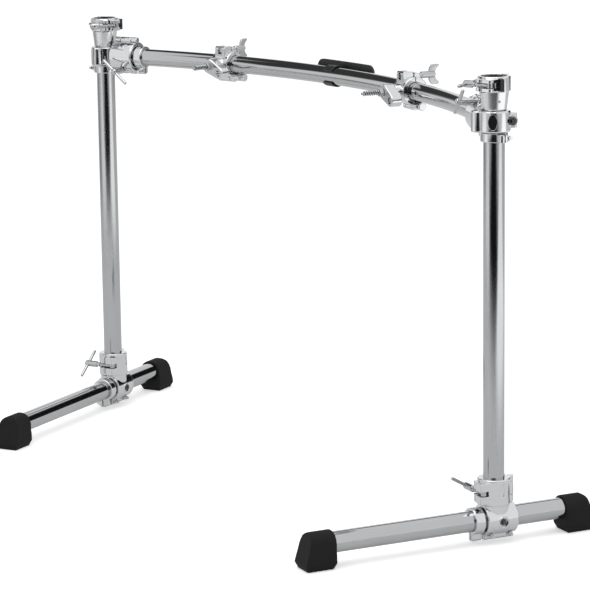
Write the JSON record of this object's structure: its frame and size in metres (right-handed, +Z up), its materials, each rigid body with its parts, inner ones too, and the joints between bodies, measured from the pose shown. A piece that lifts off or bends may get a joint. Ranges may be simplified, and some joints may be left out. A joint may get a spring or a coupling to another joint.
{
  "type": "drum rack frame",
  "caption": "Chrome tube rack with a bowed front bar, upright posts on T legs, hinged T-handle clamps, accessory clamps and rubber feet.",
  "frame": {"origin": "on the floor, under the middle of the bounding box", "axes": "+X along the rack from the left post to the right post, +Y away from the drummer, on the side to which the bar bows out, +Z up"},
  "size_m": [1.4804, 0.5876, 0.8368],
  "materials": {
    "tube_chrome": "polished chrome plate on steel tube",
    "cast_chrome": "chrome plate on die-cast clamps",
    "bolt_chrome": "bright plated bolts and T handles",
    "black_rubber": "matt moulded rubber",
    "black_plastic": "satin moulded plastic"
  },
  "bodies": {
    "bar_assembly": {"curved_bar": "tube_chrome", "name_plate": "black_plastic", "name_plate_clip": "black_plastic", "left_corner_clamp_body": "cast_chrome", "left_corner_clamp_cap": "cast_chrome", "left_bar_memory_lock": "cast_chrome", "left_post_memory_lock": "cast_chrome", "right_corner_clamp_body": "cast_chrome", "right_corner_clamp_cap": "cast_chrome", "right_bar_memory_lock": "cast_chrome", "right_post_memory_lock": "cast_chrome"},
    "left_post": {"left_post_tube": "tube_chrome", "left_top_holder_body": "cast_chrome", "left_top_holder_liner": "black_plastic"},
    "left_leg_clamp": {"left_leg_clamp_body": "cast_chrome", "left_leg_jaw": "cast_chrome", "left_leg_memory_lock": "cast_chrome"},
    "left_leg": {"left_leg_tube": "tube_chrome", "left_front_foot": "black_rubber", "left_back_foot": "black_rubber"},
    "left_leg_clamp_gate": {"left_leg_clamp_gate": "cast_chrome"},
    "left_leg_clamp_swing_bolt": {"left_leg_clamp_swing_bolt": "bolt_chrome"},
    "left_leg_clamp_t_handle": {"left_leg_clamp_t_handle": "bolt_chrome"},
    "left_top_holder_gate": {"left_top_holder_gate": "cast_chrome"},
    "left_top_holder_swing_bolt": {"left_top_holder_swing_bolt": "bolt_chrome"},
    "left_top_holder_t_handle": {"left_top_holder_t_handle": "bolt_chrome"},
    "left_corner_clamp_gate": {"left_corner_clamp_gate": "cast_chrome"},
    "left_corner_clamp_swing_bolt": {"left_corner_clamp_swing_bolt": "bolt_chrome"},
    "left_corner_clamp_t_handle": {"left_corner_clamp_t_handle": "bolt_chrome"},
    "left_accessory_clamp": {"left_accessory_clamp_body": "cast_chrome", "left_accessory_arm_bolt": "bolt_chrome"},
    "left_accessory_clamp_gate": {"left_accessory_clamp_gate": "cast_chrome"},
    "left_accessory_clamp_swing_bolt": {"left_accessory_clamp_swing_bolt": "bolt_chrome"},
    "left_accessory_clamp_wing_nut": {"left_accessory_clamp_wing_nut": "bolt_chrome"},
    "left_accessory_arm_jaw": {"left_accessory_arm_jaw": "cast_chrome"},
    "right_post": {"right_post_tube": "tube_chrome", "right_top_holder_body": "cast_chrome", "right_top_holder_liner": "black_plastic"},
    "right_leg_clamp": {"right_leg_clamp_body": "cast_chrome", "right_leg_jaw": "cast_chrome", "right_leg_memory_lock": "cast_chrome"},
    "right_leg": {"right_leg_tube": "tube_chrome", "right_front_foot": "black_rubber", "right_back_foot": "black_rubber"},
    "right_leg_clamp_gate": {"right_leg_clamp_gate": "cast_chrome"},
    "right_leg_clamp_swing_bolt": {"right_leg_clamp_swing_bolt": "bolt_chrome"},
    "right_leg_clamp_t_handle": {"right_leg_clamp_t_handle": "bolt_chrome"},
    "right_top_holder_gate": {"right_top_holder_gate": "cast_chrome"},
    "right_top_holder_swing_bolt": {"right_top_holder_swing_bolt": "bolt_chrome"},
    "right_top_holder_t_handle": {"right_top_holder_t_handle": "bolt_chrome"},
    "right_corner_clamp_gate": {"right_corner_clamp_gate": "cast_chrome"},
    "right_corner_clamp_swing_bolt": {"right_corner_clamp_swing_bolt": "bolt_chrome"},
    "right_corner_clamp_t_handle": {"right_corner_clamp_t_handle": "bolt_chrome"},
    "right_accessory_clamp": {"right_accessory_clamp_body": "cast_chrome", "right_accessory_arm_bolt": "bolt_chrome"},
    "right_accessory_clamp_gate": {"right_accessory_clamp_gate": "cast_chrome"},
    "right_accessory_clamp_swing_bolt": {"right_accessory_clamp_swing_bolt": "bolt_chrome"},
    "right_accessory_clamp_wing_nut": {"right_accessory_clamp_wing_nut": "bolt_chrome"},
    "right_accessory_arm_jaw": {"right_accessory_arm_jaw": "cast_chrome"}
  },
  "joints": [
    {"name": "left_post_slide", "type": "slide", "parent": "bar_assembly", "child": "left_post", "axis": [0, 0, 1], "range_m": [0, 0.3]},
    {"name": "left_leg_swivel", "type": "hinge", "parent": "left_post", "child": "left_leg_clamp", "pos_m": [-0.61958, 0.09392, 0.043], "axis": [0, 0, 1], "range_deg": [-45, 45]},
    {"name": "left_leg_slide", "type": "slide", "parent": "left_leg_clamp", "child": "left_leg", "axis": [0.4633, -0.8862, 0], "range_m": [-0.08, 0.08]},
    {"name": "left_leg_clamp_swing_bolt_swing", "type": "hinge", "parent": "left_leg_clamp", "child": "left_leg_clamp_swing_bolt", "pos_m": [-0.59283, 0.07512, 0.095], "axis": [0, 0, 1], "range_deg": [0, 120]},
    {"name": "left_leg_clamp_gate_swing", "type": "hinge", "parent": "left_leg_clamp", "child": "left_leg_clamp_gate", "pos_m": [-0.6351, 0.1236, 0.095], "axis": [0, 0, -1], "range_deg": [0, 45]},
    {"name": "left_leg_clamp_t_handle_spin", "type": "hinge", "parent": "left_leg_clamp_swing_bolt", "child": "left_leg_clamp_t_handle", "pos_m": [-0.59283, 0.07512, 0.095], "axis": [-0.8862, -0.4633, 0], "continuous": true},
    {"name": "left_top_holder_swing_bolt_swing", "type": "hinge", "parent": "left_post", "child": "left_top_holder_swing_bolt", "pos_m": [-0.58434, 0.1, 0.8233], "axis": [0, 0, 1], "range_deg": [0, 120]},
    {"name": "left_top_holder_gate_swing", "type": "hinge", "parent": "left_post", "child": "left_top_holder_gate", "pos_m": [-0.65098, 0.10233, 0.8233], "axis": [0, 0, -1], "range_deg": [0, 45]},
    {"name": "left_top_holder_t_handle_spin", "type": "hinge", "parent": "left_top_holder_swing_bolt", "child": "left_top_holder_t_handle", "pos_m": [-0.58434, 0.1, 0.8233], "axis": [-0.2588, -0.9659, 0], "continuous": true},
    {"name": "left_corner_clamp_swing_bolt_swing", "type": "hinge", "parent": "bar_assembly", "child": "left_corner_clamp_swing_bolt", "pos_m": [-0.57335, 0.13016, 0.7305], "axis": [0.9184, 0.3955, 0], "range_deg": [0, 120]},
    {"name": "left_corner_clamp_gate_swing", "type": "hinge", "parent": "bar_assembly", "child": "left_corner_clamp_gate", "pos_m": [-0.56742, 0.11638, 0.7925], "axis": [-0.9184, -0.3955, 0], "range_deg": [0, 45]},
    {"name": "left_corner_clamp_t_handle_spin", "type": "hinge", "parent": "left_corner_clamp_swing_bolt", "child": "left_corner_clamp_t_handle", "pos_m": [-0.57335, 0.13016, 0.7305], "axis": [0.3955, -0.9184, 0], "continuous": true},
    {"name": "left_accessory_clamp_travel", "type": "hinge", "parent": "bar_assembly", "child": "left_accessory_clamp", "pos_m": [0.03242, -1.13686, 0.758], "axis": [0, 0, 1], "range_deg": [-8, 5]},
    {"name": "left_accessory_clamp_swing_bolt_swing", "type": "hinge", "parent": "left_accessory_clamp", "child": "left_accessory_clamp_swing_bolt", "pos_m": [-0.31832, 0.19062, 0.7855], "axis": [0.9668, 0.2554, 0], "range_deg": [0, 120]},
    {"name": "left_accessory_clamp_gate_swing", "type": "hinge", "parent": "left_accessory_clamp", "child": "left_accessory_clamp_gate", "pos_m": [-0.32215, 0.20512, 0.7275], "axis": [-0.9668, -0.2554, 0], "range_deg": [0, 45]},
    {"name": "left_accessory_clamp_wing_nut_spin", "type": "hinge", "parent": "left_accessory_clamp_swing_bolt", "child": "left_accessory_clamp_wing_nut", "pos_m": [-0.31832, 0.19062, 0.7855], "axis": [-0.2554, 0.9668, 0], "continuous": true},
    {"name": "left_accessory_arm_jaw_turn", "type": "hinge", "parent": "left_accessory_clamp", "child": "left_accessory_arm_jaw", "pos_m": [-0.32215, 0.20512, 0.758], "axis": [0.2554, -0.9668, 0], "range_deg": [-90, 90]},
    {"name": "right_post_slide", "type": "slide", "parent": "bar_assembly", "child": "right_post", "axis": [0, 0, 1], "range_m": [0, 0.3]},
    {"name": "right_leg_swivel", "type": "hinge", "parent": "right_post", "child": "right_leg_clamp", "pos_m": [0.68442, 0.09392, 0.043], "axis": [0, 0, 1], "range_deg": [-45, 45]},
    {"name": "right_leg_slide", "type": "slide", "parent": "right_leg_clamp", "child": "right_leg", "axis": [-0.1564, -0.9877, 0], "range_m": [-0.08, 0.08]},
    {"name": "right_leg_clamp_swing_bolt_swing", "type": "hinge", "parent": "right_leg_clamp", "child": "right_leg_clamp_swing_bolt", "pos_m": [0.69469, 0.06288, 0.095], "axis": [0, 0, 1], "range_deg": [0, 120]},
    {"name": "right_leg_clamp_gate_swing", "type": "hinge", "parent": "right_leg_clamp", "child": "right_leg_clamp_gate", "pos_m": [0.68966, 0.127, 0.095], "axis": [0, 0, -1], "range_deg": [0, 45]},
    {"name": "right_leg_clamp_t_handle_spin", "type": "hinge", "parent": "right_leg_clamp_swing_bolt", "child": "right_leg_clamp_t_handle", "pos_m": [0.69469, 0.06288, 0.095], "axis": [-0.9877, 0.1564, 0], "continuous": true},
    {"name": "right_top_holder_swing_bolt_swing", "type": "hinge", "parent": "right_post", "child": "right_top_holder_swing_bolt", "pos_m": [0.70731, 0.06643, 0.8233], "axis": [0, 0, 1], "range_deg": [0, 120]},
    {"name": "right_top_holder_gate_swing", "type": "hinge", "parent": "right_post", "child": "right_top_holder_gate", "pos_m": [0.676, 0.12531, 0.8233], "axis": [0, 0, -1], "range_deg": [0, 45]},
    {"name": "right_top_holder_t_handle_spin", "type": "hinge", "parent": "right_top_holder_swing_bolt", "child": "right_top_holder_t_handle", "pos_m": [0.70731, 0.06643, 0.8233], "axis": [-0.9659, -0.2588, 0], "continuous": true},
    {"name": "right_corner_clamp_swing_bolt_swing", "type": "hinge", "parent": "bar_assembly", "child": "right_corner_clamp_swing_bolt", "pos_m": [0.63818, 0.13016, 0.7855], "axis": [-0.9184, 0.3955, 0], "range_deg": [0, 120]},
    {"name": "right_corner_clamp_gate_swing", "type": "hinge", "parent": "bar_assembly", "child": "right_corner_clamp_gate", "pos_m": [0.63225, 0.11638, 0.7235], "axis": [0.9184, -0.3955, 0], "range_deg": [0, 45]},
    {"name": "right_corner_clamp_t_handle_spin", "type": "hinge", "parent": "right_corner_clamp_swing_bolt", "child": "right_corner_clamp_t_handle", "pos_m": [0.63818, 0.13016, 0.7855], "axis": [-0.3955, -0.9184, 0], "continuous": true},
    {"name": "right_accessory_clamp_travel", "type": "hinge", "parent": "bar_assembly", "child": "right_accessory_clamp", "pos_m": [0.03242, -1.13686, 0.758], "axis": [0, 0, 1], "range_deg": [-9, 4]},
    {"name": "right_accessory_clamp_swing_bolt_swing", "type": "hinge", "parent": "right_accessory_clamp", "child": "right_accessory_clamp_swing_bolt", "pos_m": [0.25903, 0.21734, 0.7855], "axis": [0.9863, -0.165, 0], "range_deg": [0, 120]},
    {"name": "right_accessory_clamp_gate_swing", "type": "hinge", "parent": "right_accessory_clamp", "child": "right_accessory_clamp_gate", "pos_m": [0.26151, 0.23213, 0.7275], "axis": [-0.9863, 0.165, 0], "range_deg": [0, 45]},
    {"name": "right_accessory_clamp_wing_nut_spin", "type": "hinge", "parent": "right_accessory_clamp_swing_bolt", "child": "right_accessory_clamp_wing_nut", "pos_m": [0.25903, 0.21734, 0.7855], "axis": [0.165, 0.9863, 0], "continuous": true},
    {"name": "right_accessory_arm_jaw_turn", "type": "hinge", "parent": "right_accessory_clamp", "child": "right_accessory_arm_jaw", "pos_m": [0.26151, 0.23213, 0.758], "axis": [-0.165, -0.9863, 0], "range_deg": [-90, 90]}
  ],
  "couplings": [
    {"joint": "left_leg_clamp_gate_swing", "follows": "left_leg_clamp_swing_bolt_swing", "ratio": 0.375},
    {"joint": "left_top_holder_gate_swing", "follows": "left_top_holder_swing_bolt_swing", "ratio": 0.375},
    {"joint": "left_corner_clamp_gate_swing", "follows": "left_corner_clamp_swing_bolt_swing", "ratio": 0.375},
    {"joint": "left_accessory_clamp_gate_swing", "follows": "left_accessory_clamp_swing_bolt_swing", "ratio": 0.375},
    {"joint": "right_leg_clamp_gate_swing", "follows": "right_leg_clamp_swing_bolt_swing", "ratio": 0.375},
    {"joint": "right_top_holder_gate_swing", "follows": "right_top_holder_swing_bolt_swing", "ratio": 0.375},
    {"joint": "right_corner_clamp_gate_swing", "follows": "right_corner_clamp_swing_bolt_swing", "ratio": 0.375},
    {"joint": "right_accessory_clamp_gate_swing", "follows": "right_accessory_clamp_swing_bolt_swing", "ratio": 0.375},
    {"joint": "right_post_slide", "follows": "left_post_slide", "ratio": 1}
  ]
}
